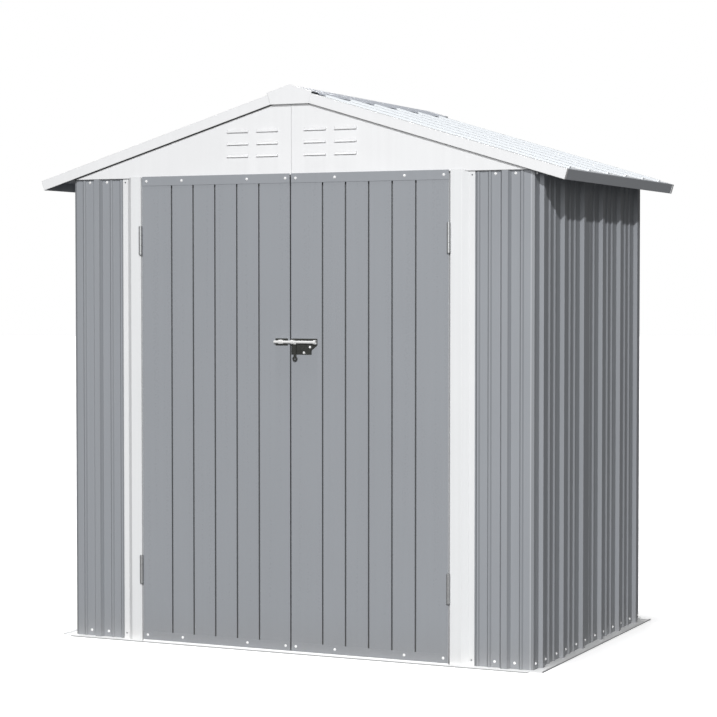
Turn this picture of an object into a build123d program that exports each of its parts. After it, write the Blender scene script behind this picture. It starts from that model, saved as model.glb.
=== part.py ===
from build123d import *
import math
import os

# Walls, measured on the outer face of the sheet between its ribs
WALL_WIDTH = 1610.0
WALL_DEPTH = 1067.0
WALL_TOP = 1507.0
SHEET = 0.8

# Pressed ribs and beads of the wall sheet
RIB_PITCH = 188.7
RIB_HEIGHT = 12.0
RIB_TOP = 19.0
RIB_FLANK = 8.0
BEAD_HEIGHT = 4.5
BEAD_TOP = 4.0
BEAD_FLANK = 5.0
BEAD_FROM_MIDDLE = 23.6
SIDE_RIBS = 6
BACK_RIBS = 8
LAP = 22.0
JOGGLE = 3.0
CORNER_ROLL = 8.0
CORNER_DROP = 3.5

# Base rails
BASE_SHEET = 2.0
BASE_FRONT_FLANGE = 41.0
BASE_SIDE_FLANGE = 37.0
BASE_LEG = 30.0
BASE_CORNER_REACH = 22.0

# Front panels beside the doors
FRONT_PANEL_LAP = 17.8
FRONT_RIB_SHARE = 0.44
FRONT_BEAD_SHARE = 0.25
FRONT_EDGE_BEAD_SHARE = 0.432
FRONT_HEM_SHARE = 0.053

# Door jambs
JAMB_SHEET = 1.0
OPENING_SHARE = 0.67267
JAMB_FACE = 37.3
JAMB_FLANK = 18.5
JAMB_FLANGE = 19.5
JAMB_STANDS = 20.0
DOOR_STOP = 14.0

# Gables
GABLE_SHEET = 1.0
GABLE_GAP = 0.6
GABLE_EDGE = 29.4
GABLE_LIP = 38.0
GABLE_TOP_LIP = 25.0
SEAM_GAP = 0.5
LOUVRE_LENGTH = 75.0
LOUVRE_GAP = 30.0
LOUVRE_FROM_SEAM = 46.0
LOUVRE_PITCH = 38.9
LOUVRE_RISE = 59.4
LOUVRE_HEIGHT = 9.0
LOUVRE_STANDS = 7.0
LOUVRE_COLUMNS = 2
LOUVRE_ROWS = 3

# Wall top rails and mid rails
RAIL_SHEET = 1.2
TOP_RAIL_LEG = 48.0
TOP_RAIL_FLANGE = 28.0
MID_RAIL_HEIGHT = 45.0
MID_RAIL_DEPTH = 16.0
MID_RAIL_CENTRE = 760.0
RAIL_END_GAP = 24.0

# Roof
ROOF_PITCH = 16.8
ROOF_SHEET = 0.8
EAVE_OVERHANG = 109.0
ROOF_OVERHANG = 25.0
ROOF_RIB_PITCH = 186.0
ROOF_RIBS = 6
ROOF_RIB_HEIGHT = 6.0
ROOF_RIB_TOP = 14.0
ROOF_RIB_FLANK = 5.0
ROOF_RIB_STOP = 5.0
RIDGE_OPENING = 12.0
RIDGE_CAP_WING = 84.0
CAP_SHEET = 1.0
BEAM_WING = 38.0
BEAM_LEG = 30.0
PURLIN_FROM_RIDGE = 430.0
PURLIN_FLANGE = 30.0
PURLIN_WEB = 36.0
BEAM_END_GAP = 0.3

# White roof trims
TRIM_SHEET = 1.0
TRIM_FACE = 32.0
VERGE_FLANGE = 26.0
VERGE_EAR = 15.0
EAVE_FLANGE = 18.0
END_CAP_BOTTOM = 134.0
END_CAP_SHOULDERS = 157.0
END_CAP_DROP = 52.0
END_CAP_FLANGE = 32.0
VERGE_FROM_RIDGE = 24.0

# Door leaves
DOOR_GAP = 5.0
DOOR_RECESS = 0.7
DOOR_SHEET = 0.8
DOOR_THICKNESS = 13.8
DOOR_LIP = 14.0
GROOVE_PITCH = 79.0
GROOVE_COUNT = 5
GROOVE_WIDTH = 5.5
GROOVE_DEPTH = 7.0
GROOVE_SLANT_SHARE = 0.1
DOOR_RAIL = 30.0
DOOR_FOOT = 27.0
DOOR_RAIL_SHEET = 1.0
DOOR_OVERLAP = 4.4

# Butt hinges
HINGE_HEIGHT = 92.0
HINGE_UPPER = 1306.0
HINGE_LOWER = 236.0
HINGE_LEAF = 1.5
HINGE_BACK = 16.0
KNUCKLES = 3
KNUCKLE_RADIUS = 6.0
KNUCKLE_GAP = 0.5
PIN_RADIUS = 3.0
PIN_CLEARANCE = 0.25
BARREL_CLEARANCE = 0.5
PIN_HEAD = 1.5

# Slide bolt
BOLT_HEIGHT = 983.0
BOLT_RADIUS = 4.5
BOLT_CLEARANCE = 0.5
BOLT_TIP = -54.0
BOLT_TAIL = 89.0
BOLT_OFF_PLATE = 1.5
LATCH_SHEET = 2.0
PLATE_TOP = 11.0
PLATE_BOTTOM = 39.0
PLATE_WAIST = 26.0
PLATE_SHOULDER = 10.0
PLATE_LEFT = 4.0
PLATE_RIGHT = 94.0
PLATE_FOOT_RIGHT = 74.0
GUIDE_WALL = 1.8
GUIDE_LENGTH = 8.0
GUIDE_INSET = 2.0
KEEPER_LEFT = 52.0
KEEPER_RIGHT = 9.0
KEEPER_LOOP = 14.0
HANDLE_WIDTH = 8.0
HANDLE_THICKNESS = 3.5
HANDLE_FROM_SEAM = 19.0
HANDLE_DROP = 52.0
EYE_RADIUS = 8.0
EYE_HOLE_RADIUS = 3.6

CUT = 1.0

# Worked-out places
SIDE = WALL_WIDTH / 2
FRONT = -WALL_DEPTH / 2
BACK = WALL_DEPTH / 2
SLOPE = math.radians(ROOF_PITCH)
ROOF_END = WALL_DEPTH / 2 + ROOF_OVERHANG
INNER = 2 * SHEET
CORNER_RETURN = LAP + CORNER_DROP
JAMB_EDGE = WALL_WIDTH * OPENING_SHARE / 2
JAMB_OUTER = JAMB_EDGE + JAMB_FACE + JAMB_FLANK + JAMB_FLANGE
FRONT_PANEL_START = JAMB_OUTER - FRONT_PANEL_LAP
GABLE_FACE = RIB_HEIGHT + GABLE_SHEET
GABLE_BOTTOM = WALL_TOP + GABLE_GAP
ROOF_RIDGE = GABLE_BOTTOM + GABLE_EDGE + SIDE * math.tan(SLOPE)
ROOF_HALF_WIDTH = SIDE + EAVE_OVERHANG
SLOPE_LENGTH = ROOF_HALF_WIDTH / math.cos(SLOPE)
DOOR_FACE = JAMB_STANDS - DOOR_RECESS
DOOR_TOP = GABLE_BOTTOM - DOOR_GAP
DOOR_LIP_TOP = GABLE_BOTTOM + DOOR_OVERLAP
DOOR_BOTTOM = BASE_SHEET + DOOR_GAP
DOOR_EDGE = JAMB_EDGE - DOOR_GAP
HINGE_X = JAMB_EDGE - DOOR_GAP / 2
HINGE_STANDS = JAMB_STANDS + KNUCKLE_RADIUS + BARREL_CLEARANCE
PLATE_FACE = DOOR_FACE + LATCH_SHEET
BOLT_STANDS = PLATE_FACE + BOLT_OFF_PLATE + BOLT_RADIUS


def roof_under(x):
    """Height of the underside of the roof sheet at a distance from the ridge."""
    return ROOF_RIDGE - abs(x) * math.tan(SLOPE)


def moved_right(points, distance):
    """The same open line moved to its right by a distance, with mitred corners."""
    normals = []
    for (ax, ay), (bx, by) in zip(points, points[1:]):
        run = math.hypot(bx - ax, by - ay)
        normals.append(((by - ay) / run, (ax - bx) / run))
    joined = [normals[0]]
    for (ax, ay), (bx, by) in zip(normals, normals[1:]):
        share = 1 + ax * bx + ay * by
        joined.append(((ax + bx) / share, (ay + by) / share))
    joined.append(normals[-1])
    return [(x + nx * distance, y + ny * distance) for (x, y), (nx, ny) in zip(points, joined)]


def strip(points, thickness):
    """Closed outline of a bent sheet: a line, and the same line moved to its right by the thickness."""
    return points + moved_right(points, thickness)[::-1]


def run_of(outline, plane, length):
    """A profile carried along the plane's normal."""
    return extrude(plane * make_face(Polyline(*outline, close=True)), amount=length)


def upright(outline, low, high):
    """A plan outline carried up from one height to another."""
    return run_of(outline, Plane.XY.offset(low), high - low)


def along_y(outline, start, end):
    """An outline of (x, z) points carried from front to back."""
    plane = Plane(origin=(0, start, 0), x_dir=(-1, 0, 0), z_dir=(0, 1, 0))
    return run_of([(-x, z) for x, z in outline], plane, end - start)


def along_x(outline, start, end):
    """An outline of (y, z) points carried from left to right."""
    return run_of(outline, Plane(origin=(start, 0, 0), x_dir=(0, 1, 0), z_dir=(1, 0, 0)), end - start)


def block(low, high):
    """A plain bar between two corners."""
    size = [b - a for a, b in zip(low, high)]
    return Pos(*low) * Box(*size, align=(Align.MIN, Align.MIN, Align.MIN))


def rod(centre, radius, length, direction):
    """A round bar from a centre along a direction."""
    return extrude(Plane(origin=centre, z_dir=direction) * Circle(radius), amount=length)


def flipped(shape):
    """The same piece on the other side of the ridge line."""
    return mirror(shape, about=Plane.YZ)


def turned_back(shape):
    """The same piece on the back of the shed, mirrored from the front."""
    return mirror(shape, about=Plane.XZ)


def rib(centre, height, top, flank):
    """Four corners of one pressed rib that stands out of the sheet."""
    return [
        (centre - top / 2 - flank, 0),
        (centre - top / 2, height),
        (centre + top / 2, height),
        (centre + top / 2 + flank, 0),
    ]


def wall_ribs(low, high, count):
    """Ribs and beads of a wall of count ribs, centred on zero, that lie between two places."""
    points = []
    for half in range(-count, count + 1):
        place = half * RIB_PITCH / 2
        if half % 2 != count % 2:
            shapes = [rib(place, RIB_HEIGHT, RIB_TOP, RIB_FLANK)]
        else:
            shapes = [
                rib(place - BEAD_FROM_MIDDLE, BEAD_HEIGHT, BEAD_TOP, BEAD_FLANK),
                rib(place + BEAD_FROM_MIDDLE, BEAD_HEIGHT, BEAD_TOP, BEAD_FLANK),
            ]
        for shape in shapes:
            if low < shape[0][0] and shape[-1][0] < high:
                points += shape
    return points


def tucked_start(place):
    """A sheet's first edge, set in by one thickness to lie under its neighbour."""
    return [(place, -SHEET), (place + LAP, -SHEET), (place + LAP + JOGGLE, 0)]


def tucked_end(place):
    """A sheet's last edge, set in by one thickness to lie under its neighbour."""
    return [(place - LAP - JOGGLE, 0), (place - LAP, -SHEET), (place, -SHEET)]


def rolled_corner(side):
    """The rolled corner of an end panel, from its flat face round to the return along the side wall."""
    return [(side * (SIDE - CORNER_ROLL), 0), (side * SIDE, -CORNER_DROP), (side * SIDE, -CORNER_RETURN)]


def side_wall(line):
    """A ribbed sheet on the right wall, from a line of (y, outward) points."""
    return upright([(SIDE + v, u) for u, v in strip(line, SHEET)], BASE_SHEET, WALL_TOP)


def back_wall(line):
    """A ribbed sheet on the back wall, from a line of (x, outward) points."""
    return upright([(u, BACK + v) for u, v in strip(line, SHEET)], BASE_SHEET, WALL_TOP)


def base_rails():
    """Angle rails: a flange on the ground outside the walls and a leg up behind the sheet."""
    leg = INNER + BASE_SHEET
    flange_end = SIDE - leg
    leg_end = flange_end - CORNER_ROLL
    front = block((-flange_end, FRONT - BASE_FRONT_FLANGE, 0), (flange_end, FRONT + leg, BASE_SHEET))
    front += block((-leg_end, FRONT + INNER, 0), (leg_end, FRONT + leg, BASE_LEG))
    flange_end = BACK + BASE_CORNER_REACH
    leg_end = BACK - leg - CORNER_DROP
    right = block((SIDE - leg, -flange_end, 0), (SIDE + BASE_SIDE_FLANGE, flange_end, BASE_SHEET))
    right += block((SIDE - leg, -leg_end, 0), (SIDE - INNER, leg_end, BASE_LEG))
    return {
        "front_base_rail": front,
        "back_base_rail": turned_back(front),
        "right_base_rail": right,
        "left_base_rail": flipped(right),
    }


def wall_panels():
    """Ribbed sheets: corner panels in front, two to a side, two at the back, lapped at their edges."""
    width = SIDE - FRONT_PANEL_START
    rib_place = SIDE - width * FRONT_RIB_SHARE
    bead_place = width * FRONT_BEAD_SHARE
    hem_end = FRONT_PANEL_START + width * FRONT_HEM_SHARE
    line = [(FRONT_PANEL_START, BEAD_HEIGHT), (hem_end, BEAD_HEIGHT), (hem_end + BEAD_FLANK, 0)]
    line += rib(rib_place - width * FRONT_EDGE_BEAD_SHARE, BEAD_HEIGHT, BEAD_TOP, BEAD_FLANK)
    line += rib(rib_place - bead_place, BEAD_HEIGHT, BEAD_TOP, BEAD_FLANK)
    line += rib(rib_place, RIB_HEIGHT, RIB_TOP, RIB_FLANK)
    line += rib(rib_place + bead_place, BEAD_HEIGHT, BEAD_TOP, BEAD_FLANK)
    line += rolled_corner(1)
    front = upright([(u, FRONT - v) for u, v in strip(line, SHEET)], BASE_SHEET, WALL_TOP)

    edge = BACK - CORNER_DROP - INNER
    side_front = tucked_start(-edge) + wall_ribs(-edge + LAP, -LAP, SIDE_RIBS) + tucked_end(LAP / 2)
    side_back = [(-LAP / 2, 0)] + wall_ribs(-LAP / 2, edge - LAP, SIDE_RIBS) + tucked_end(edge)
    right_front = side_wall(side_front)
    right_back = side_wall(side_back)

    back_left = rolled_corner(-1)[::-1] + wall_ribs(-SIDE, 0, BACK_RIBS) + tucked_end(LAP / 2)
    back_right = [(-LAP / 2, 0)] + wall_ribs(-LAP / 2, SIDE, BACK_RIBS) + rolled_corner(1)
    return {
        "front_right_panel": front,
        "front_left_panel": flipped(front),
        "right_wall_front_panel": right_front,
        "right_wall_back_panel": right_back,
        "left_wall_front_panel": flipped(right_front),
        "left_wall_back_panel": flipped(right_back),
        "back_left_panel": back_wall(back_left),
        "back_right_panel": back_wall(back_right),
    }


def door_jambs():
    """White pressed channels: a screwed flange, a sloped flank, a face over the gable, and a door stop."""
    seat = BEAD_HEIGHT + JAMB_SHEET
    line = [
        (-JAMB_OUTER, seat),
        (-JAMB_OUTER + JAMB_FLANGE, seat),
        (-JAMB_EDGE - JAMB_FACE, JAMB_STANDS),
        (-JAMB_EDGE, JAMB_STANDS),
        (-JAMB_EDGE, JAMB_SHEET - INNER),
        (-JAMB_EDGE + DOOR_STOP, JAMB_SHEET - INNER),
    ]
    outline = [(u, FRONT - v) for u, v in strip(line, JAMB_SHEET)]
    left = upright(outline, BASE_SHEET, DOOR_LIP_TOP)
    left -= block(
        (-JAMB_OUTER - CUT, FRONT - GABLE_FACE, WALL_TOP),
        (-JAMB_EDGE + DOOR_STOP + CUT, FRONT + INNER + CUT, DOOR_LIP_TOP + CUT),
    )
    return {"left_door_jamb": left, "right_door_jamb": flipped(left)}


def top_rails():
    """Angles along the top of the walls that carry the gables and the roof sheets."""
    inside = FRONT + INNER
    low = GABLE_BOTTOM - TOP_RAIL_LEG
    line = [(inside, low), (inside, GABLE_BOTTOM), (inside + TOP_RAIL_FLANGE, GABLE_BOTTOM)]
    rail_end = SIDE - INNER - CORNER_ROLL
    front = along_x(strip(line, RAIL_SHEET), -rail_end, rail_end)
    x = SIDE - INNER
    line = [(x - TOP_RAIL_FLANGE, roof_under(x - TOP_RAIL_FLANGE)), (x, roof_under(x)), (x, low)]
    end = BACK - INNER - TOP_RAIL_FLANGE - BEAM_END_GAP
    right = along_y(strip(line, RAIL_SHEET), -end, end)
    return {
        "front_top_rail": front,
        "back_top_rail": turned_back(front),
        "right_top_rail": right,
        "left_top_rail": flipped(right),
    }


def mid_rails():
    """Hat rails across the inside of the closed walls at half height."""
    low = MID_RAIL_CENTRE - MID_RAIL_HEIGHT / 2
    high = MID_RAIL_CENTRE + MID_RAIL_HEIGHT / 2
    x = SIDE - INNER
    inner_x = x - MID_RAIL_DEPTH
    line = [(x, low), (inner_x, low), (inner_x, high), (x, high)]
    end = BACK - INNER - RAIL_END_GAP
    right = along_y(strip(line, RAIL_SHEET), -end, end)
    y = BACK - INNER
    inner_y = y - MID_RAIL_DEPTH
    line = [(y, low), (inner_y, low), (inner_y, high), (y, high)]
    end = SIDE - INNER - RAIL_END_GAP
    back = along_x(strip(line, RAIL_SHEET), -end, end)
    return {"wall_mid_rails": [right, flipped(right), back]}


def gable_half():
    """One half of the front gable: a plate with lips under the roof and over the rail, and louvres."""
    face = FRONT - GABLE_FACE
    inside = face + GABLE_SHEET
    seam = SEAM_GAP / 2
    corner = roof_under(SIDE)
    peak = roof_under(seam)
    half = along_y([(seam, GABLE_BOTTOM), (SIDE, GABLE_BOTTOM), (SIDE, corner), (seam, peak)], face, inside)
    half += block((seam, face, GABLE_BOTTOM), (SIDE - INNER, face + GABLE_LIP, GABLE_BOTTOM + GABLE_SHEET))
    drop = GABLE_SHEET / math.cos(SLOPE)
    lip = [(seam, peak), (SIDE, corner), (SIDE, corner - drop), (seam, peak - drop)]
    half += along_y(lip, face, inside + GABLE_TOP_LIP)
    for column in range(LOUVRE_COLUMNS):
        left = LOUVRE_FROM_SEAM + column * (LOUVRE_LENGTH + LOUVRE_GAP)
        right = left + LOUVRE_LENGTH
        for row in range(LOUVRE_ROWS):
            low = GABLE_BOTTOM + LOUVRE_RISE + row * LOUVRE_PITCH
            high = low + LOUVRE_HEIGHT
            cheek = [(face, high), (face - LOUVRE_STANDS, low), (face, low)]
            half += along_x(cheek, left, right)
            slot_high = high - GABLE_SHEET
            hollow = [
                (inside + CUT, slot_high),
                (face, slot_high - GABLE_SHEET),
                (face - LOUVRE_STANDS + GABLE_SHEET, low),
                (face - LOUVRE_STANDS + GABLE_SHEET, low - CUT),
                (face, low - CUT),
                (face, low),
                (inside + CUT, low),
            ]
            half -= along_x(hollow, left + GABLE_SHEET, right - GABLE_SHEET)
    return half


def gables():
    """Four gable halves, the back pair like the front pair."""
    right = gable_half()
    return {
        "front_right_gable": right,
        "front_left_gable": flipped(right),
        "back_right_gable": turned_back(right),
        "back_left_gable": flipped(turned_back(right)),
    }


def on_slope(outline, start, end):
    """An outline of (y, outward) points carried down the right slope between two distances."""
    down = (math.cos(SLOPE), 0, -math.sin(SLOPE))
    ridge = Vector(0, 0, ROOF_RIDGE) + Vector(*down) * start
    return run_of(outline, Plane(origin=ridge, x_dir=(0, 1, 0), z_dir=down), end - start)


def across_slope(outline, start, end):
    """An outline of (down the slope, outward) points carried from front to back on the right slope."""
    down = (math.cos(SLOPE), 0, -math.sin(SLOPE))
    plane = Plane(origin=(0, end, ROOF_RIDGE), x_dir=down, z_dir=(0, -1, 0))
    return run_of(outline, plane, end - start)


def roof_frame():
    """A roof-shaped ridge beam and two angle purlins under the sheets, between the gables."""
    end = -FRONT + GABLE_FACE - GABLE_SHEET - GABLE_TOP_LIP - BEAM_END_GAP
    low = roof_under(BEAM_WING) - BEAM_LEG
    right = [(0, ROOF_RIDGE), (BEAM_WING, roof_under(BEAM_WING)), (BEAM_WING, low)]
    left = [(-x, z) for x, z in right[:0:-1]]
    beam = along_y(strip(left + right, RAIL_SHEET), -end, end)
    web = PURLIN_FROM_RIDGE + PURLIN_FLANGE
    line = [(PURLIN_FROM_RIDGE, 0), (web, 0), (web, -PURLIN_WEB)]
    purlin = across_slope(strip(line, RAIL_SHEET), -end, end)
    return {"ridge_beam": beam, "roof_purlins": [purlin, flipped(purlin)]}


def roof_sheets():
    """A sheet to each slope, its ribs closed before the eave trim, and the folded ridge cap."""
    rib_end = SLOPE_LENGTH - EAVE_FLANGE - ROOF_RIB_STOP
    edges = [(-ROOF_END, ROOF_SHEET), (ROOF_END, ROOF_SHEET)]
    line = edges[:1]
    ends = []
    for index in range(ROOF_RIBS):
        place = (index - (ROOF_RIBS - 1) / 2) * ROOF_RIB_PITCH
        shape = rib(place, ROOF_RIB_HEIGHT, ROOF_RIB_TOP, ROOF_RIB_FLANK)
        corners = [(u, v + ROOF_SHEET) for u, v in shape]
        line += corners
        foot = [(corners[-1][0], 0), (corners[0][0], 0)]
        ends.append(on_slope(corners + foot, rib_end - ROOF_SHEET, rib_end))
    line += edges[1:]
    right = on_slope(strip(line, ROOF_SHEET), RIDGE_OPENING, rib_end)
    right += on_slope(strip(edges, ROOF_SHEET), rib_end, SLOPE_LENGTH)
    for end in ends:
        right += end
    lift = (ROOF_SHEET + ROOF_RIB_HEIGHT + CAP_SHEET) / math.cos(SLOPE)
    wing_x = RIDGE_CAP_WING * math.cos(SLOPE)
    wing_z = roof_under(wing_x) + lift
    wing = [(-wing_x, wing_z), (0, ROOF_RIDGE + lift), (wing_x, wing_z)]
    cap = along_y(strip(wing, CAP_SHEET), -ROOF_END, ROOF_END)
    return {"right_roof_panel": right, "left_roof_panel": flipped(right), "ridge_cap": cap}


def roof_trims():
    """White edge trims: verge angles with an ear round the eave, eave angles, and folded ridge end caps."""
    top = ROOF_SHEET + TRIM_SHEET
    low = top - TRIM_FACE
    face = -ROOF_END - TRIM_SHEET
    edge = SLOPE_LENGTH + TRIM_SHEET
    line = [(face, low), (face, top), (-ROOF_END + VERGE_FLANGE, top)]
    verge = on_slope(strip(line, TRIM_SHEET), VERGE_FROM_RIDGE, SLOPE_LENGTH)
    verge += on_slope(strip(line[:2], TRIM_SHEET), SLOPE_LENGTH, edge + TRIM_SHEET)
    verge += across_slope(strip([(edge, low), (edge, top)], TRIM_SHEET), face, face + VERGE_EAR)

    eave = across_slope(strip([(SLOPE_LENGTH, low), (SLOPE_LENGTH, top)], TRIM_SHEET), -ROOF_END, ROOF_END)
    flange_end = ROOF_END - VERGE_FLANGE
    flange = strip([(SLOPE_LENGTH - EAVE_FLANGE, top), (SLOPE_LENGTH, top)], TRIM_SHEET)
    eave += across_slope(flange, -flange_end, flange_end)

    lift = (top + ROOF_RIB_HEIGHT + CAP_SHEET) / math.cos(SLOPE)
    half = END_CAP_SHOULDERS / 2
    shoulder = roof_under(half) + lift
    fold = [(-half, shoulder), (0, ROOF_RIDGE + lift), (half, shoulder)]
    cap_low = ROOF_RIDGE - END_CAP_DROP
    foot = [(END_CAP_BOTTOM / 2, cap_low), (-END_CAP_BOTTOM / 2, cap_low)]
    cap = along_y(fold + foot, face - TRIM_SHEET, face)
    cap += along_y(strip(fold, TRIM_SHEET), face - TRIM_SHEET, face + END_CAP_FLANGE)
    return {
        "front_verge_trims": [verge, flipped(verge)],
        "back_verge_trims": [turned_back(verge), turned_back(flipped(verge))],
        "right_eave_trim": eave,
        "left_eave_trim": flipped(eave),
        "ridge_end_caps": [cap, turned_back(cap)],
    }


def door_leaf():
    """The right leaf: a grooved pan with folded edges, and channel rails over its top and bottom."""
    free_edge = DOOR_GAP / 2
    middle = (free_edge + DOOR_EDGE) / 2
    back = DOOR_FACE - DOOR_THICKNESS
    line = [(free_edge + DOOR_LIP, back), (free_edge, back), (free_edge, DOOR_FACE)]
    for index in range(GROOVE_COUNT):
        place = middle + (index - (GROOVE_COUNT - 1) / 2) * GROOVE_PITCH
        line += groove(place)
    line += [(DOOR_EDGE, DOOR_FACE), (DOOR_EDGE, back), (DOOR_EDGE - DOOR_LIP, back)]
    outline = [(u, FRONT - v) for u, v in strip(line, DOOR_SHEET)]
    top = DOOR_TOP - DOOR_RAIL_SHEET
    bottom = DOOR_BOTTOM + DOOR_RAIL_SHEET
    pan = upright(outline, bottom, top)
    front = FRONT - DOOR_FACE
    rear = FRONT - back
    strip_low = DOOR_LIP_TOP - DOOR_RAIL
    line = [(rear, strip_low), (rear, top), (front, top), (front, strip_low)]
    head_rail = along_x(strip(line, DOOR_RAIL_SHEET), free_edge, DOOR_EDGE)
    lip = strip([(front, DOOR_LIP_TOP), (front, top)], DOOR_RAIL_SHEET)
    head_rail += along_x(lip, free_edge, DOOR_EDGE)
    strip_high = DOOR_BOTTOM + DOOR_FOOT
    line = [(front, strip_high), (front, bottom), (rear, bottom), (rear, strip_high)]
    foot_rail = along_x(strip(line, DOOR_RAIL_SHEET), free_edge, DOOR_EDGE)
    return pan, [head_rail, foot_rail]


def groove(place):
    """Four corners of one narrow groove pressed into the leaf."""
    half = GROOVE_WIDTH / 2
    slant = GROOVE_WIDTH * GROOVE_SLANT_SHARE
    return [
        (place - half, DOOR_FACE),
        (place - half + slant, DOOR_FACE - GROOVE_DEPTH),
        (place + half - slant, DOOR_FACE - GROOVE_DEPTH),
        (place + half, DOOR_FACE),
    ]


def hinge(centre_height):
    """One butt hinge of the right leaf: its jamb leaf with the pin, and its door leaf."""
    axis_y = FRONT - HINGE_STANDS
    low = centre_height - HINGE_HEIGHT / 2
    pitch = HINGE_HEIGHT / KNUCKLES
    back = FRONT - DOOR_FACE + HINGE_BACK
    frame_side = block((JAMB_EDGE - HINGE_LEAF, axis_y, low), (JAMB_EDGE, back, low + HINGE_HEIGHT))
    door_side = block((DOOR_EDGE, axis_y, low), (DOOR_EDGE + HINGE_LEAF, back, low + HINGE_HEIGHT))
    height = pitch - KNUCKLE_GAP
    barrels = []
    for index in range(KNUCKLES):
        bottom = low + index * pitch + KNUCKLE_GAP / 2
        barrels.append(rod((HINGE_X, axis_y, bottom), KNUCKLE_RADIUS, height, (0, 0, 1)))
        clear_foot = (HINGE_X, axis_y, bottom - KNUCKLE_GAP)
        clear = rod(clear_foot, KNUCKLE_RADIUS + KNUCKLE_GAP, height + 2 * KNUCKLE_GAP, (0, 0, 1))
        if index % 2 == 0:
            door_side -= clear
        else:
            frame_side -= clear
    pin_foot = (HINGE_X, axis_y, low - PIN_HEAD)
    pin_length = HINGE_HEIGHT + 2 * PIN_HEAD
    frame_side += rod(pin_foot, PIN_RADIUS, pin_length, (0, 0, 1))
    for barrel in barrels[0::2]:
        frame_side += barrel
    for barrel in barrels[1::2]:
        door_side += barrel
    door_side -= rod(pin_foot, PIN_RADIUS + PIN_CLEARANCE, pin_length, (0, 0, 1))
    return frame_side, door_side


def guide(left, right, seat, stands, radius):
    """A bridge over the bolt: straight cheeks from its seat to the rod's height and a round top."""
    outer = radius + GUIDE_WALL
    low = BOLT_HEIGHT - outer
    axis_y = FRONT - stands
    bridge = block((left, axis_y, low), (right, FRONT - seat, BOLT_HEIGHT + outer))
    bridge += rod((left, axis_y, BOLT_HEIGHT), outer, right - left, (1, 0, 0))
    return bridge


def slide_bolt():
    """The latch: a plate with two guides on the right leaf, its bolt, and a keeper on the left leaf."""
    bore_radius = BOLT_RADIUS + BOLT_CLEARANCE
    axis_y = FRONT - BOLT_STANDS
    face = FRONT - DOOR_FACE
    outline = [
        (PLATE_LEFT, BOLT_HEIGHT - PLATE_BOTTOM),
        (PLATE_FOOT_RIGHT, BOLT_HEIGHT - PLATE_BOTTOM),
        (PLATE_FOOT_RIGHT, BOLT_HEIGHT - PLATE_WAIST),
        (PLATE_RIGHT, BOLT_HEIGHT - PLATE_SHOULDER),
        (PLATE_RIGHT, BOLT_HEIGHT + PLATE_TOP),
        (PLATE_LEFT, BOLT_HEIGHT + PLATE_TOP),
    ]
    plate = along_y(outline, face - LATCH_SHEET, face)
    first = PLATE_LEFT + GUIDE_INSET
    last = PLATE_RIGHT - GUIDE_INSET
    plate += guide(first, first + GUIDE_LENGTH, PLATE_FACE, BOLT_STANDS, bore_radius)
    plate += guide(last - GUIDE_LENGTH, last, PLATE_FACE, BOLT_STANDS, bore_radius)
    bore_length = PLATE_RIGHT - PLATE_LEFT + 2 * CUT
    plate -= rod((PLATE_LEFT - CUT, axis_y, BOLT_HEIGHT), bore_radius, bore_length, (1, 0, 0))

    low = (-KEEPER_LEFT, face - LATCH_SHEET, BOLT_HEIGHT - PLATE_TOP)
    keeper = block(low, (-KEEPER_RIGHT, face, BOLT_HEIGHT + PLATE_TOP))
    loop_left = -(KEEPER_LEFT + KEEPER_RIGHT + KEEPER_LOOP) / 2
    keeper += guide(loop_left, loop_left + KEEPER_LOOP, PLATE_FACE, BOLT_STANDS, bore_radius)
    bore_length = KEEPER_LEFT - KEEPER_RIGHT + 2 * CUT
    keeper -= rod((-KEEPER_LEFT - CUT, axis_y, BOLT_HEIGHT), bore_radius, bore_length, (1, 0, 0))

    bolt = rod((BOLT_TIP, axis_y, BOLT_HEIGHT), BOLT_RADIUS, BOLT_TAIL - BOLT_TIP, (1, 0, 0))
    front = axis_y - HANDLE_THICKNESS / 2
    eye_height = BOLT_HEIGHT - HANDLE_DROP
    left = HANDLE_FROM_SEAM - HANDLE_WIDTH / 2
    bolt += block((left, front, eye_height), (left + HANDLE_WIDTH, front + HANDLE_THICKNESS, BOLT_HEIGHT))
    bolt += rod((HANDLE_FROM_SEAM, front, eye_height), EYE_RADIUS, HANDLE_THICKNESS, (0, 1, 0))
    hole_length = HANDLE_THICKNESS + 2 * CUT
    bolt -= rod((HANDLE_FROM_SEAM, front - CUT, eye_height), EYE_HOLE_RADIUS, hole_length, (0, 1, 0))
    return {"latch_plate": plate, "latch_keeper": keeper, "latch_bolt": bolt}


def doors():
    """Both leaves with their rails, hinges and the slide bolt."""
    pan, rails = door_leaf()
    hinges = [hinge(HINGE_UPPER), hinge(HINGE_LOWER)]
    frame_leaves = [pair[0] for pair in hinges]
    door_leaves = [pair[1] for pair in hinges]
    nodes = {
        "right_door_panel": pan,
        "left_door_panel": flipped(pan),
        "right_door_rails": rails,
        "left_door_rails": [flipped(rail) for rail in rails],
        "right_hinge_frame_leaves": frame_leaves,
        "left_hinge_frame_leaves": [flipped(leaf) for leaf in frame_leaves],
        "right_hinge_door_leaves": door_leaves,
        "left_hinge_door_leaves": [flipped(leaf) for leaf in door_leaves],
    }
    return nodes | slide_bolt()


nodes = base_rails() | wall_panels() | door_jambs() | top_rails() | mid_rails()
nodes |= gables() | roof_frame() | roof_sheets() | roof_trims() | doors()
os.makedirs("parts", exist_ok=True)
for name, shape in nodes.items():
    solids = shape if isinstance(shape, list) else [shape]
    whole = Compound(children=[solid for piece in solids for solid in piece.solids()])
    export_step(whole, f"parts/{name}.step")
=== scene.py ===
import math

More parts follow.
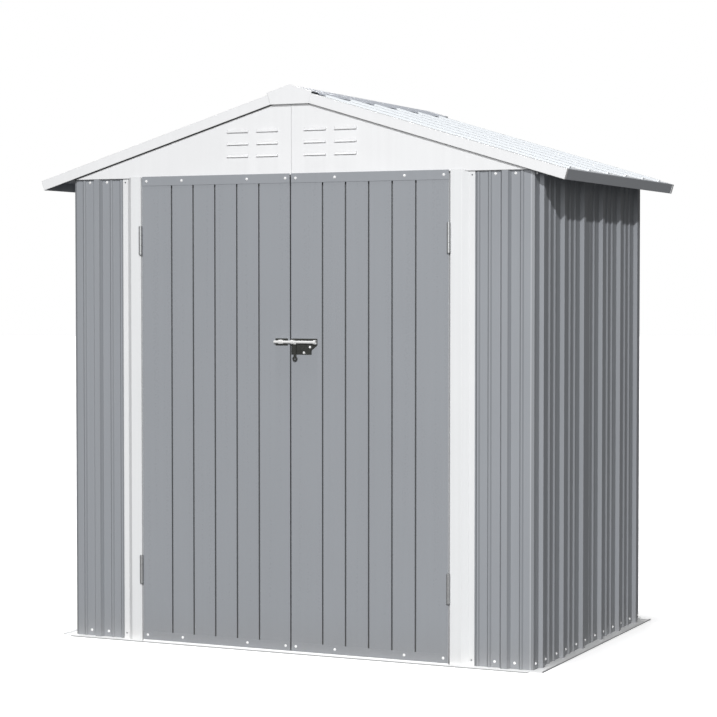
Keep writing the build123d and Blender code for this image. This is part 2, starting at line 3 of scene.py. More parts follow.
import bpy
import numpy as np
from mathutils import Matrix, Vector


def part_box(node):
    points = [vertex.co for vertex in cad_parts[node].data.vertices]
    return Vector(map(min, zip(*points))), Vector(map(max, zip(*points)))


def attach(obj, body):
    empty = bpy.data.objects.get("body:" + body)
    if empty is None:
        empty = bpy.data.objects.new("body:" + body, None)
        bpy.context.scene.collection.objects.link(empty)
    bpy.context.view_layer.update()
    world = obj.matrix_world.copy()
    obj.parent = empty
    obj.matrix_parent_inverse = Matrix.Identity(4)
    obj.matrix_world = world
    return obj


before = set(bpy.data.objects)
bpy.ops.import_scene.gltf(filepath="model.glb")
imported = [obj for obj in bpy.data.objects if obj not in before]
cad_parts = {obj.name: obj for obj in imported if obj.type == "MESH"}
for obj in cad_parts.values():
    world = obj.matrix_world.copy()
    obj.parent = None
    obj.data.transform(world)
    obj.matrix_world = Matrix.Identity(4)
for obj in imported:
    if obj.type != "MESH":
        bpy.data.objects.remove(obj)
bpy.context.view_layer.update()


# The photographer's place: a long lens from the front right, a little higher than the latch and looking
# slightly down, with the shed filling the square picture.
EYE = (2.9775, -6.5359, 1.1677)
LENS_ANGLE = 24.625
LENS_DOWN = 2.0295
LENS = 106.697
SENSOR = 36.0
FARTHEST = 200.0

camera_data = bpy.data.cameras.new("photographer")
camera_data.lens = LENS
camera_data.sensor_width = SENSOR
camera_data.clip_end = FARTHEST
camera = bpy.data.objects.new("photographer", camera_data)
camera.location = EYE
camera.rotation_euler = (math.radians(90.0 - LENS_DOWN), 0.0, math.radians(LENS_ANGLE))
bpy.context.scene.collection.objects.link(camera)
bpy.context.scene.camera = camera


# The studio: a low key from the front right with crisp shadows, a large soft panel high in front, a high
# light that whitens the floor and roof, and a weak one behind for the back wall. The air is a dim even
# grey, and the backdrop is white to the camera alone.
KEY_TRAVEL, KEY_STRENGTH, KEY_SOFTNESS = (-0.341, 0.862, -0.375), 2.05, 1.0
HIGH_TRAVEL, HIGH_STRENGTH, HIGH_SOFTNESS = (0.0, 0.08, -1.0), 1.5, 8.0
BACK_TRAVEL, BACK_STRENGTH, BACK_SOFTNESS = (0.55, -0.75, -0.15), 1.1, 25.0
LAMP_PLACE = (0.0, 0.0, 5.0)
PANEL_PLACE = Vector((1.6, -6.0, 2.35))
PANEL_AIM = Vector((0.0, -0.5, 0.9))
PANEL_SIZE = (3.0, 2.0)
PANEL_POWER = 150.0
AIR = 0.13
BACKDROP = 1.0


def hang_light(lamp, travel, place):
    """Link a lamp at a place, turned so that its light travels the given way."""
    holder = bpy.data.objects.new(lamp.name, lamp)
    holder.location = place
    holder.rotation_euler = Vector(travel).to_track_quat("-Z", "Y").to_euler()
    holder.visible_camera = False
    bpy.context.scene.collection.objects.link(holder)


def distant_light(name, travel, strength, softness):
    """A far lamp, its shadow edges as soft as its disc is wide in degrees."""
    lamp = bpy.data.lights.new(name, "SUN")
    lamp.energy = strength
    lamp.angle = math.radians(softness)
    hang_light(lamp, travel, LAMP_PLACE)


distant_light("key_light", KEY_TRAVEL, KEY_STRENGTH, KEY_SOFTNESS)
distant_light("high_light", HIGH_TRAVEL, HIGH_STRENGTH, HIGH_SOFTNESS)
distant_light("back_light", BACK_TRAVEL, BACK_STRENGTH, BACK_SOFTNESS)
panel = bpy.data.lights.new("front_panel_light", "AREA")
panel.energy = PANEL_POWER
panel.shape = "RECTANGLE"
panel.size, panel.size_y = PANEL_SIZE
hang_light(panel, PANEL_AIM - PANEL_PLACE, PANEL_PLACE)

bpy.context.scene.view_settings.view_transform = "Standard"
air = bpy.data.worlds.new("studio_air")
bpy.context.scene.world = air
air.use_nodes = True
air_nodes = air.node_tree.nodes
rays = air_nodes.new("ShaderNodeLightPath")
seen = air_nodes.new("ShaderNodeMix")
seen.inputs["A"].default_value = AIR
seen.inputs["B"].default_value = BACKDROP
air.node_tree.links.new(rays.outputs["Is Camera Ray"], seen.inputs["Factor"])
air_nodes["Background"].inputs["Color"].default_value = (1.0, 1.0, 1.0, 1.0)
air.node_tree.links.new(seen.outputs["Result"], air_nodes["Background"].inputs["Strength"])


# The floor: a wide plain sheet of pale paper that the shed stands on, in rings that widen outwards. It
# glows a little, so that it fades into the backdrop.
FLOOR_RADIUS = 40.0
FLOOR_RINGS, FLOOR_TURNS = 24, 96
FLOOR_WHITE = (0.9, 0.9, 0.9)
FLOOR_GLOW = 0.42
FLOOR_GRAIN = 40.0


class Shade:
    """One socket of a finish's nodes. Sums, differences, products and powers add Math nodes."""

    def __init__(self, tree, socket=None):
        self.tree = tree
        self.socket = socket

    def feed(self, node, sockets):
        """Link or set the named sockets of a node."""
        for name, value in sockets.items():
            if isinstance(value, Shade):
                self.tree.links.new(value.socket, node.inputs[name])
            else:
                node.inputs[name].default_value = value

    def node(self, kind, settings, sockets, output=0):
        """Add a node: its settings, then the value or link of each socket. Gives one of its outputs."""
        made = self.tree.nodes.new(kind)
        for name, value in settings.items():
            setattr(made, name, value)
        self.feed(made, sockets)
        return Shade(self.tree, made.outputs[output])

    def math(self, operation, first, second=0.0):
        return self.node("ShaderNodeMath", {"operation": operation}, {0: first, 1: second})

    def __add__(self, other):
        return self.math("ADD", self, other)

    __radd__ = __add__

    def __sub__(self, other):
        return self.math("SUBTRACT", self, other)

    def __rsub__(self, other):
        return self.math("SUBTRACT", other, self)

    def __mul__(self, other):
        return self.math("MULTIPLY", self, other)

    def __pow__(self, other):
        return self.math("POWER", self, other)

    def __abs__(self):
        return self.math("ABSOLUTE", self)

    def fraction(self):
        return self.math("FRACT", self)

    def clipped(self, low, high):
        """0 below low and 1 above high, with a straight rise between."""
        sockets = {"Value": self, "From Min": low, "From Max": high}
        return self.node("ShaderNodeMapRange", {"clamp": True}, sockets)

    def apart(self):
        """The three numbers of a vector."""
        split = self.node("ShaderNodeSeparateXYZ", {}, {"Vector": self}).socket.node
        return [Shade(self.tree, socket) for socket in split.outputs]

    def noise(self, place, scale, detail):
        """Soft random clouds, between 0 and 1."""
        return self.node("ShaderNodeTexNoise", {}, {"Vector": place, "Scale": scale, "Detail": detail})

    def tinted(self, colour, tone):
        """A colour made lighter or darker by a tone."""
        level = self.node("ShaderNodeCombineColor", {}, {0: tone, 1: tone, 2: tone})
        settings = {"data_type": "RGBA", "blend_type": "MULTIPLY"}
        return self.node("ShaderNodeMix", settings, {0: 1.0, 6: (*colour, 1.0), 7: level}, 2)

    def blended(self, first, second, share):
        """Two colours mixed by the share of the second."""
        return self.node("ShaderNodeMix", {"data_type": "RGBA"}, {0: share, 6: first, 7: second}, 2)


def finish(name):
    """A new material: itself, its shader, a Shade to start its nodes from, and the place on the piece."""
    made = bpy.data.materials.new(name)
    made.use_nodes = True
    nodes = Shade(made.node_tree)
    place = nodes.node("ShaderNodeTexCoord", {}, {}, "Object")
    return made, made.node_tree.nodes["Principled BSDF"], nodes, place


rings = FLOOR_RADIUS * np.linspace(0.0, 1.0, FLOOR_RINGS) ** 2
turns = np.linspace(0.0, 2.0 * np.pi, FLOOR_TURNS, endpoint=False)
across, along = np.outer(rings, np.cos(turns)), np.outer(rings, np.sin(turns))
floor_points = np.stack([across, along, np.zeros_like(across)], axis=-1)
ring, turn = np.meshgrid(np.arange(FLOOR_RINGS - 1) * FLOOR_TURNS, np.arange(FLOOR_TURNS), indexing="ij")
beside = (turn + 1) % FLOOR_TURNS
wider = ring + FLOOR_TURNS
floor_faces = np.stack([ring + turn, wider + turn, wider + beside, ring + beside], axis=-1)
floor_mesh = bpy.data.meshes.new("studio_floor")
floor_mesh.from_pydata(floor_points.reshape(-1, 3).tolist(), [], floor_faces.reshape(-1, 4).tolist())
floor = bpy.data.objects.new("studio_floor", floor_mesh)
bpy.context.scene.collection.objects.link(floor)
floor.visible_diffuse = False
floor.visible_glossy = False
paper, shader, nodes, place = finish("pale_paper")
nodes.feed(shader, {
    "Base Color": nodes.tinted(FLOOR_WHITE, 0.97 + nodes.noise(place, FLOOR_GRAIN, 2.0) * 0.04),
    "Roughness": 0.9, "Emission Color": (1.0, 1.0, 1.0, 1.0), "Emission Strength": FLOOR_GLOW})
floor_mesh.materials.append(paper)


# Base rails: white enamelled steel angles on the ground, with a leg behind the sheets and a flange
# outside, its cut edge bare grey steel; that grey, carried up the foot of each lip, is also a painted
# contact shadow at the ground. A white lip stands on the edge of each flange, and a sill strip lies under
# the doors, both low enough for the doors to pass over.
BASE_WHITE, BASE_SOIL, BARE_STEEL_AND_SHADOW = (0.90, 0.91, 0.92), (0.72, 0.71, 0.69), (0.30, 0.305, 0.32)
EDGE_SHADOW_TOP = 0.0033
BARE_FRONT, BARE_SIDE = 0.5743, 0.8418
BARE_BLUR = 0.0001
LIP_FOOT, LIP_TOP = 0.0019, 0.0055
LIP_WIDTH = 0.0024
LIP_INSET = 0.0001
SILL_TOP = 0.0062
SILL_END = 0.5365
SILL_FACE, SILL_BACK = 0.5535, 0.5400
STREAK_SCALE = (70.0, 70.0, 1.5)
CLOUD_SCALE, SPECK_SCALE, PEEL_SCALE = 2.6, 160.0, 750.0
CLOUD_HEIGHT, PEEL_HEIGHT = 0.004, 0.00003


def wear(material, *nodes):
    """Give every slot of the named solids this material."""
    for node in nodes:
        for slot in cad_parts[node].material_slots:
            slot.material = material


def enamel(name, colour, soil, roughness, soil_height=0.16, fold=0.002, marks=(), waves=0.35):
    """Baked enamel on rolled sheet: faint streaks along the rolling, a fine orange peel, slow waves of
    thin sheet, rounded folds painted a little paler as a painted highlight, and soil that fades upwards
    from the ground. Each mark is a function of the place that gives the share of another colour, and that
    colour."""
    material, shader, nodes, place = finish(name)
    x, y, z = place.apart()
    drawn = nodes.node("ShaderNodeMapping", {}, {"Vector": place, "Scale": STREAK_SCALE})
    streaks = nodes.noise(drawn, 1.0, 3.0)
    clouds = nodes.noise(place, CLOUD_SCALE, 4.0)
    peel = nodes.noise(place, PEEL_SCALE, 1.0)
    specks = nodes.noise(place, SPECK_SCALE, 3.0)
    rounded = nodes.node("ShaderNodeBevel", {"samples": 4}, {"Radius": fold})
    flat = nodes.node("ShaderNodeNewGeometry", {}, {}, "Normal")
    product = {"operation": "DOT_PRODUCT"}
    likeness = nodes.node("ShaderNodeVectorMath", product, {0: rounded, 1: flat}, "Value")
    # Folds are painted paler: a painted highlight on every rounded fold.
    fold_highlight = (1.0 - likeness).clipped(0.01, 0.3)
    dust = (1.0 - z.clipped(0.0, soil_height)) ** 2.0 * (clouds * 0.7 + specks * 0.6)
    paint = nodes.tinted(colour, 0.94 + streaks * 0.05 + clouds * 0.07 + fold_highlight * 0.14)
    for share, other in marks:
        paint = nodes.blended(paint, (*other, 1.0), share(x, y, z))
    height = peel * PEEL_HEIGHT + clouds * CLOUD_HEIGHT
    relief = {"Strength": waves, "Distance": 1.0, "Height": height, "Normal": rounded}
    nodes.feed(shader, {
        "Base Color": nodes.blended(paint, (*soil, 1.0), dust * 0.4),
        "Roughness": roughness - 0.05 + streaks * 0.06 + specks * 0.05 + dust * 0.25,
        "Normal": nodes.node("ShaderNodeBump", {}, relief)})
    return material


def bare_edge_and_painted_shadow(x, y, z):
    """1 on the bare outer edge of the flanges, and on the foot of their lips, in bare grey that also
    serves as a painted contact shadow at the ground.
    """
    in_front = abs(y).clipped(BARE_FRONT - BARE_BLUR, BARE_FRONT)
    beside = abs(x).clipped(BARE_SIDE - BARE_BLUR, BARE_SIDE)
    return (in_front + beside) * (1.0 - z.clipped(EDGE_SHADOW_TOP - BARE_BLUR, EDGE_SHADOW_TOP + BARE_BLUR))


def new_piece(name, corners, faces, material, body):
    """A piece of the visual model from lists of corners and faces, moving with a body."""
    mesh = bpy.data.meshes.new(name)
    mesh.from_pydata(corners, [], faces)
    mesh.materials.append(material)
    piece = bpy.data.objects.new(name, mesh)
    bpy.context.scene.collection.objects.link(piece)
    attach(piece, body)


def closed_bar(rings):
    """Corners and faces of a bar through rings of four corners, with both ends closed."""
    count = len(rings)
    station, corner = np.meshgrid(np.arange(count - 1) * 4, np.arange(4), indexing="ij")
    beside = (corner + 1) % 4
    onward = station + 4
    sides = np.stack([station + corner, station + beside, onward + beside, onward + corner], axis=-1)
    ends = np.array([[3, 2, 1, 0], np.arange(4) + 4 * (count - 1)])
    return rings.reshape(-1, 3), np.concatenate([sides.reshape(-1, 4), ends])


def square_bar(low, high):
    """Corners and faces of a bar with square corners, from its low to its high corner."""
    ring = [(high[1], high[2]), (low[1], high[2]), (low[1], low[2]), (high[1], low[2])]
    return closed_bar(np.array([[(x, y, z) for y, z in ring] for x in (low[0], high[0])]))


def piece_of_bars(name, bars, material, body):
    """One piece from the corners and faces of several bars."""
    corner_sets, face_sets = zip(*bars)
    starts = np.cumsum([0] + [len(corners) for corners in corner_sets[:-1]])
    faces = np.concatenate([faces + start for faces, start in zip(face_sets, starts)])
    new_piece(name, np.concatenate(corner_sets).tolist(), faces.tolist(), material, body)


base_white = enamel("base_white_enamel", BASE_WHITE, BASE_SOIL, 0.36, soil_height=0.03, fold=0.001,
                    marks=[(bare_edge_and_painted_shadow, BARE_STEEL_AND_SHADOW)])
wear(base_white, "front_base_rail", "back_base_rail", "left_base_rail", "right_base_rail")
lips = []
for node, axis, at_high in (("front_base_rail", 1, False), ("back_base_rail", 1, True),
                            ("left_base_rail", 0, False), ("right_base_rail", 0, True)):
    low, high = np.array(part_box(node))
    low[2], high[2] = LIP_FOOT, LIP_TOP
    if at_high:
        high[axis] -= LIP_INSET
        low[axis] = high[axis] - LIP_WIDTH
    else:
        low[axis] += LIP_INSET
        high[axis] = low[axis] + LIP_WIDTH
    lips.append(square_bar(low, high))
piece_of_bars("base_lips", lips, base_white, "shed")
sill = square_bar((-SILL_END, -SILL_FACE, LIP_FOOT), (SILL_END, -SILL_BACK, SILL_TOP))
piece_of_bars("door_sill", [sill], base_white, "shed")


# Wall sheets: grey baked enamel on thin ribbed steel, lapped at the joints and screwed to the base and
# top rails with white pan-head screws on washers, in the flats beside the ribs.
GREY = (0.300, 0.315, 0.338)
# Painted highlight beside the right-hand corners.
HIGHLIGHT_GREY = (0.42, 0.435, 0.46)
# Painted shade on the corner rolls.
ROLL_SHADE_GREY = (0.24, 0.252, 0.27)
# Painted shade on the rib and bead flanks.
FLANK_SHADE_GREY = (0.235, 0.247, 0.265)
GREY_SOIL = (0.20, 0.185, 0.165)
SCREW_WHITE, SCREW_SOIL = (0.90, 0.90, 0.90), (0.6, 0.58, 0.55)
HIGHLIGHT_START, ROLL_START = 0.7935, 0.7970
ROLL_DEPTH = 0.530
ROLL_BLUR = 0.001
SIDE_FACE = 0.805
WALL_FACE = 0.5335
RIB_RISE = 0.0120
BEAD_RISE = 0.0045
BEAD_BLUR = 0.0005
EDGE_START, EDGE_FULL = 0.0002, 0.0006
SCREW_HEAD = 0.0034
SCREW_RISE = 0.0022
SCREW_SIDES = 16
SHOULDER, SHOULDER_RISE = 0.93, 0.6
CROWN = 0.72
RECESS, RECESS_RISE = 0.8, 0.4
WASHER = 0.0043
WASHER_RISE = 0.0007
HIGH_ROW = 1.4975
LOW_ROW = 0.020
FRONT_FLATS = np.array([0.6805, 0.745])
RIB_PITCH = 0.1887
RIB_PLACES = RIB_PITCH * np.arange(0.5, 4.0)
SIDE_RIBS = 3
BEFORE_RIB, BEHIND_RIB = 0.0406, 0.046


def painted_corner_highlight(x, y, z):
    """1 from the last strip of flat sheet before a right corner to the end of its roll: a painted
    highlight.
    """
    in_depth = abs(y).clipped(ROLL_DEPTH - ROLL_BLUR, ROLL_DEPTH)
    return x.clipped(HIGHLIGHT_START - ROLL_BLUR, HIGHLIGHT_START) * in_depth


def painted_roll_shade(x, y, z):
    """1 on the roll of a corner, darkened as painted shade."""
    in_depth = abs(y).clipped(ROLL_DEPTH - ROLL_BLUR, ROLL_DEPTH)
    return abs(x).clipped(ROLL_START - 0.5 * ROLL_BLUR, ROLL_START) * in_depth


def painted_flank_shade(x, y, z):
    """1 on the flanks of the front and back ribs and beads, between flats and tops: painted shade."""
    rise = abs(y) - WALL_FACE
    off_bead_tops = abs(rise - BEAD_RISE).clipped(EDGE_START, BEAD_BLUR)
    below_rib_tops = 1.0 - rise.clipped(RIB_RISE - EDGE_FULL, RIB_RISE - EDGE_START)
    return rise.clipped(EDGE_START, EDGE_FULL) * off_bead_tops * below_rib_tops


# The grey sheets carry a painted highlight beside their right-hand corners, and painted shade on the
# corner rolls and on the rib and bead flanks.
grey = enamel("grey_enamel", GREY, GREY_SOIL, 0.32, marks=[
    (painted_corner_highlight, HIGHLIGHT_GREY), (painted_roll_shade, ROLL_SHADE_GREY), (painted_flank_shade, FLANK_SHADE_GREY)])
wear(grey, "front_left_panel", "front_right_panel", "left_wall_front_panel", "left_wall_back_panel",
     "right_wall_front_panel", "right_wall_back_panel", "back_left_panel", "back_right_panel")


def pan_screws(name, places, facing, body, material, head=SCREW_HEAD, washer=WASHER):
    """Pan-head screws on washers, with a level facing axis of length 1. Rings of (radius, height) are
    turned about that axis at each place, from the washer's foot over the head to the floor of the recess.
    The recess has a radius of 0.2 + 0.4 |cos 2t|^3 of the head, which draws a cross."""
    turns = np.linspace(0.0, 2.0 * np.pi, SCREW_SIDES, endpoint=False)
    cross = head * (0.2 + 0.4 * np.abs(np.cos(2.0 * turns)) ** 3)
    plain = np.ones(SCREW_SIDES)
    radii = np.stack([washer * plain, washer * plain, head * plain, SHOULDER * head * plain,
                      CROWN * head * plain, cross, RECESS * cross])
    rise = SCREW_RISE * head / SCREW_HEAD
    heights = np.array([0.0, WASHER_RISE, WASHER_RISE, WASHER_RISE + SHOULDER_RISE * rise,
                        WASHER_RISE + rise, WASHER_RISE + rise, WASHER_RISE + RECESS_RISE * rise])
    out = np.array(facing, dtype=float)
    across = np.cross(out, (0.0, 0.0, 1.0))
    along = np.cross(out, across)
    places = np.asarray(places, dtype=float).reshape(-1, 3)
    count = len(places)
    twist = np.random.default_rng(count).uniform(0.0, np.pi / 2.0, count)
    angle = turns[None, :] + twist[:, None]
    spoke = np.cos(angle)[..., None] * across + np.sin(angle)[..., None] * along
    reach = radii[None, :, :, None] * spoke[:, None]
    points = places[:, None, None, :] + reach + heights[None, :, None, None] * out
    poles = places[:, None, :] + np.array([0.0, heights[-1]])[None, :, None] * out
    vertices = np.concatenate([points.reshape(count, -1, 3), poles], axis=1)
    rim = np.arange(SCREW_SIDES)
    row, step = np.meshgrid(np.arange(len(heights) - 1) * SCREW_SIDES, rim, indexing="ij")
    after = (step + 1) % SCREW_SIDES
    upper = row + SCREW_SIDES
    sides = np.stack([row + step, row + after, upper + after, upper + step], axis=-1)
    next_on_rim = np.roll(rim, -1)
    foot = SCREW_SIDES * len(heights)
    last_ring = foot - SCREW_SIDES
    under = np.stack([next_on_rim, rim, np.full(SCREW_SIDES, foot)], axis=-1)
    recess = np.stack([last_ring + rim, last_ring + next_on_rim, np.full(SCREW_SIDES, foot + 1)], axis=-1)
    offsets = np.arange(count) * (foot + 2)
    quads = (sides.reshape(1, -1, 4) + offsets[:, None, None]).reshape(-1, 4)
    fans = (np.concatenate([under, recess])[None] + offsets[:, None, None]).reshape(-1, 3)
    faces = quads.tolist() + fans.tolist()
    new_piece(name, vertices.reshape(-1, 3).tolist(), faces, material, body)


def rows_of(x, y, z):
    """Every mix of the given places across, in depth and in height."""
    return np.stack(np.meshgrid(x, y, z, indexing="ij"), axis=-1).reshape(-1, 3)


screw_white = enamel("screw_white_enamel", SCREW_WHITE, SCREW_SOIL, 0.3, soil_height=0.01, fold=0.0004)
both_ways = np.array([-1.0, 1.0])
rows = [LOW_ROW, HIGH_ROW]
front_flats = np.outer(both_ways, FRONT_FLATS).ravel()
side_ribs = np.outer(both_ways, RIB_PLACES[:SIDE_RIBS]).ravel()
side_flats = np.concatenate([side_ribs - BEFORE_RIB, side_ribs + BEHIND_RIB])
back_ribs = np.outer(both_ways, RIB_PLACES).ravel()
back_flats = np.concatenate([back_ribs - BEFORE_RIB, back_ribs + BEFORE_RIB])
for name, places, facing in (
        ("front_panel_screws", rows_of(front_flats, -WALL_FACE, rows), (0.0, -1.0, 0.0)),
        ("right_wall_screws", rows_of(SIDE_FACE, side_flats, rows), (1.0, 0.0, 0.0)),
        ("left_wall_screws", rows_of(-SIDE_FACE, side_flats, rows), (-1.0, 0.0, 0.0)),
        ("back_wall_screws", rows_of(back_flats, WALL_FACE, rows), (0.0, 1.0, 0.0))):
    pan_screws(name, places, facing, "shed", screw_white)


# Door jambs: white enamelled channels beside the doors, lapped over the sheets and screwed through
# a flange with small plated screws near the top and the foot.
JAMB_WHITE, WHITE_SOIL = (0.745, 0.755, 0.765), (0.50, 0.47, 0.43)
PLATE_GREY = (0.30, 0.31, 0.32)
TARNISH_SCALE = 600.0
JAMB_SEAT = 0.539
JAMB_SCREW = 0.6072
JAMB_HIGH_ROW = 1.4955
SMALL_HEAD, SMALL_WASHER = 0.0024, 0.0026
jamb_white = enamel("jamb_white_enamel", JAMB_WHITE, WHITE_SOIL, 0.34, soil_height=0.10, fold=0.003)
wear(jamb_white, "left_door_jamb", "right_door_jamb")
plated, shader, nodes, place = finish("plated_screw")
tarnish = nodes.noise(place, TARNISH_SCALE, 2.0)
nodes.feed(shader, {
    "Base Color": nodes.tinted(PLATE_GREY, 0.7 + tarnish * 0.6), "Roughness": 0.3 + tarnish * 0.2,
    "Metallic": 0.7})
jamb_places = rows_of(JAMB_SCREW * both_ways, -JAMB_SEAT, [LOW_ROW, JAMB_HIGH_ROW])
pan_screws("jamb_screws", jamb_places, (0.0, -1.0, 0.0), "shed", plated,
           SMALL_HEAD, SMALL_WASHER)


# Frame inside: galvanised angles along the wall tops, hat rails at half height, a ridge beam and purlins,
# all behind the sheets. The zinc has grown in spangles about a centimetre wide, with a dull bloom.
ZINC = (0.60, 0.62, 0.64)
SPANGLE_SCALE, BLOOM_SCALE = 110.0, 9.0
zinc, shader, nodes, place = finish("zinc_spangle")
spangles = nodes.node("ShaderNodeTexVoronoi", {}, {"Vector": place, "Scale": SPANGLE_SCALE}, "Color")
spangle = nodes.node("ShaderNodeSeparateColor", {}, {"Color": spangles})
bloom = nodes.noise(place, BLOOM_SCALE, 4.0)
nodes.feed(shader, {
    "Base Color": nodes.tinted(ZINC, 0.75 + spangle * 0.25 + bloom * 0.2),
    "Roughness": 0.34 + spangle * 0.12 + bloom * 0.15, "Metallic": 0.8})
wear(zinc, "front_top_rail", "back_top_rail", "left_top_rail", "right_top_rail", "wall_mid_rails",
     "ridge_beam", "roof_purlins")


# Gables: white enamelled plates in two halves with pressed louvres, seated on the wall tops. The strip
# under the verge trims is painted near black as a painted shadow, which shows as a thin line below the
# trims.
GABLE_WHITE, TRIM_SHADOW_BLACK = (0.815, 0.82, 0.83), (0.06, 0.06, 0.06)
ROOF_TOP = 1.7800
ROOF_FALL = math.tan(math.radians(16.8))
SHADOWED_STRIP = 0.0331
SHADOWED_BLUR = 0.0002


def painted_shadow_under_trim(x, y, z):
    """1 on the strip of a gable that lies close under the slopes of the roof: a painted shadow."""
    below_roof = ROOF_TOP - abs(x) * ROOF_FALL - z
    return 1.0 - below_roof.clipped(SHADOWED_STRIP - SHADOWED_BLUR, SHADOWED_STRIP + SHADOWED_BLUR)


gable_white = enamel("gable_white_enamel", GABLE_WHITE, WHITE_SOIL, 0.34, soil_height=0.10, fold=0.003,
                     marks=[(painted_shadow_under_trim, TRIM_SHADOW_BLACK)])
wear(gable_white, "front_left_gable", "front_right_gable", "back_left_gable", "back_right_gable")


# Roof sheets: white enamel on shallow ribbed sheet, seated on the gables and purlins. The ribs are painted
# darker as painted shade, except at their closed ends by the eaves, and a little blue-grey painted shade
# lies along their feet.
ROOF_WHITE, ROOF_SOIL = (0.80, 0.82, 0.84), (0.5, 0.5, 0.48)
RIB_SHADE, RIB_FOOT_SHADE = (0.555, 0.58, 0.605), (0.40, 0.45, 0.52)
ROOF_RIB_PITCH = 0.186
ROOF_RIB_FOOT = 0.012
ROOF_RIB_END = 0.8905
ROOF_RIB_BLUR, ROOF_END_BLUR = 0.0005, 0.001
RIB_FOOT_SHADE_WIDTH, RIB_FOOT_SHADE_SHARE = 0.034, 0.12


def from_roof_rib(y):
    """Distance from the middle of the nearest rib."""
    return abs((y * (1.0 / ROOF_RIB_PITCH)).fraction() - 0.5) * ROOF_RIB_PITCH


def painted_rib_shade(x, y, z):
    """1 on the ribs, up to their closed ends at the eaves: painted shade that darkens the ribs."""
    along = 1.0 - abs(x).clipped(ROOF_RIB_END - ROOF_END_BLUR, ROOF_RIB_END)
    return along * (1.0 - from_roof_rib(y).clipped(ROOF_RIB_FOOT - ROOF_RIB_BLUR, ROOF_RIB_FOOT))


def painted_rib_foot_shade(x, y, z):
    """Painted shade: most at the foot of each rib, fading out over the flat, and none on the rib itself.
    """
    away = from_roof_rib(y)
    on_flat = away.clipped(ROOF_RIB_FOOT - ROOF_RIB_BLUR, ROOF_RIB_FOOT)
    fading = 1.0 - away.clipped(ROOF_RIB_FOOT, ROOF_RIB_FOOT + RIB_FOOT_SHADE_WIDTH)
    return on_flat * fading * RIB_FOOT_SHADE_SHARE


roof_white = enamel("roof_white_enamel", ROOF_WHITE, ROOF_SOIL, 0.5, fold=0.0, waves=0.0, marks=[
    (painted_rib_shade, RIB_SHADE), (painted_rib_foot_shade, RIB_FOOT_SHADE)])
wear(roof_white, "left_roof_panel", "right_roof_panel")


# Ridge cap: a pale grey enamelled sheet folded over the ridge and seated on the ribs. Its hems are pressed
# down towards the sheet between the ribs and left flat where a rib passes under.
CAP_GREY = (0.60, 0.63, 0.69)
CAP_WING = 0.084
CAP_TOP = 0.0078
CAP_SEAT = 0.00685
HEM_RUN = 0.007
HEM_FOOT = 0.0032
HEM_INSET = 0.036
HEM_AT_RIB = 0.0012
HEM_BENDS = np.array([-0.0145, -0.009, 0.009, 0.0145])
cap_grey = enamel("cap_pale_grey_enamel", CAP_GREY, GREY_SOIL, 0.4, waves=0.03)
wear(cap_grey, "ridge_cap")
cap_low, cap_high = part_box("ridge_cap")
roof_ribs = ROOF_RIB_PITCH * np.arange(-2.5, 3.0)
hem_ends = [[cap_low[1] + HEM_INSET], [cap_high[1] - HEM_INSET]]
stations = np.concatenate([hem_ends[0], np.add.outer(roof_ribs, HEM_BENDS).ravel(), hem_ends[1]])
pressed = np.concatenate([[1.0], np.tile([1.0, 0.0, 0.0, 1.0], len(roof_ribs)), [1.0]])


def cap_hem(side):
    """One hem: a strip along the edge of a wing, its outer edge pressed down by a share at each station.
    A point u down the slope and v off it is at x = u cos + v sin, z = ridge - u sin + v cos."""
    slope = math.atan(ROOF_FALL)
    sheet = CAP_TOP - CAP_SEAT
    inner = np.full_like(pressed, CAP_WING)
    outer = CAP_WING + HEM_AT_RIB + (HEM_RUN - HEM_AT_RIB) * pressed
    foot = CAP_SEAT + (HEM_FOOT - CAP_SEAT) * pressed
    down = np.stack([inner, outer, outer, inner], axis=-1)
    top, seat = np.full_like(foot, CAP_TOP), np.full_like(foot, CAP_SEAT)
    off = np.stack([top, foot + sheet, foot, seat], axis=-1)
    across = down * math.cos(slope) + off * math.sin(slope)
    height = ROOF_TOP - down * math.sin(slope) + off * math.cos(slope)
    rings = np.stack([side * across, np.repeat(stations[:, None], 4, axis=1), height], axis=-1)
    return closed_bar(rings if side > 0.0 else rings[:, ::-1])


piece_of_bars("ridge_cap_hems", [cap_hem(1.0), cap_hem(-1.0)], cap_grey, "shed")


# Roof trims: white enamelled angles up the gables with ears round the grey eave angles, and white folded
# end caps on the ridge.
TRIM_WHITE, EAVE_GREY = (0.79, 0.795, 0.805), (0.45, 0.47, 0.50)
trim_white = enamel("trim_white_enamel", TRIM_WHITE, WHITE_SOIL, 0.34, soil_height=0.10, fold=0.003)
wear(trim_white, "front_verge_trims", "back_verge_trims", "ridge_end_caps")
eave_grey = enamel("eave_grey_enamel", EAVE_GREY, GREY_SOIL, 0.34)
wear(eave_grey, "left_eave_trim", "right_eave_trim")


# Doors: grooved grey leaves stiffened by channel rails, screwed through the rails with white screws. The
# grooves are darkened with painted shade and a painted shadow at their tops, and the outer edge at the
# hinges is painted pale, painted light against the shade of the gap.
GROOVE_SHADE, GROOVE_TOP_SHADOW = (0.13, 0.135, 0.14), (0.01, 0.01, 0.01)
GAP_EDGE_PALE = (0.72, 0.73, 0.74)
DOOR_EDGE = 0.5365
DOOR_FACE = 0.5528
GROOVE_START, GROOVE_FULL = 0.001, 0.003
GROOVE_FLOOR = 0.5458
GROOVE_TOP = 1.4735
GROOVE_TOP_BLUR = 0.001
DOOR_STRIP = 0.5538
DOOR_SCREWS = np.array([0.018, 0.154, 0.390, 0.520])
DOOR_ROWS = [0.022, 1.497]


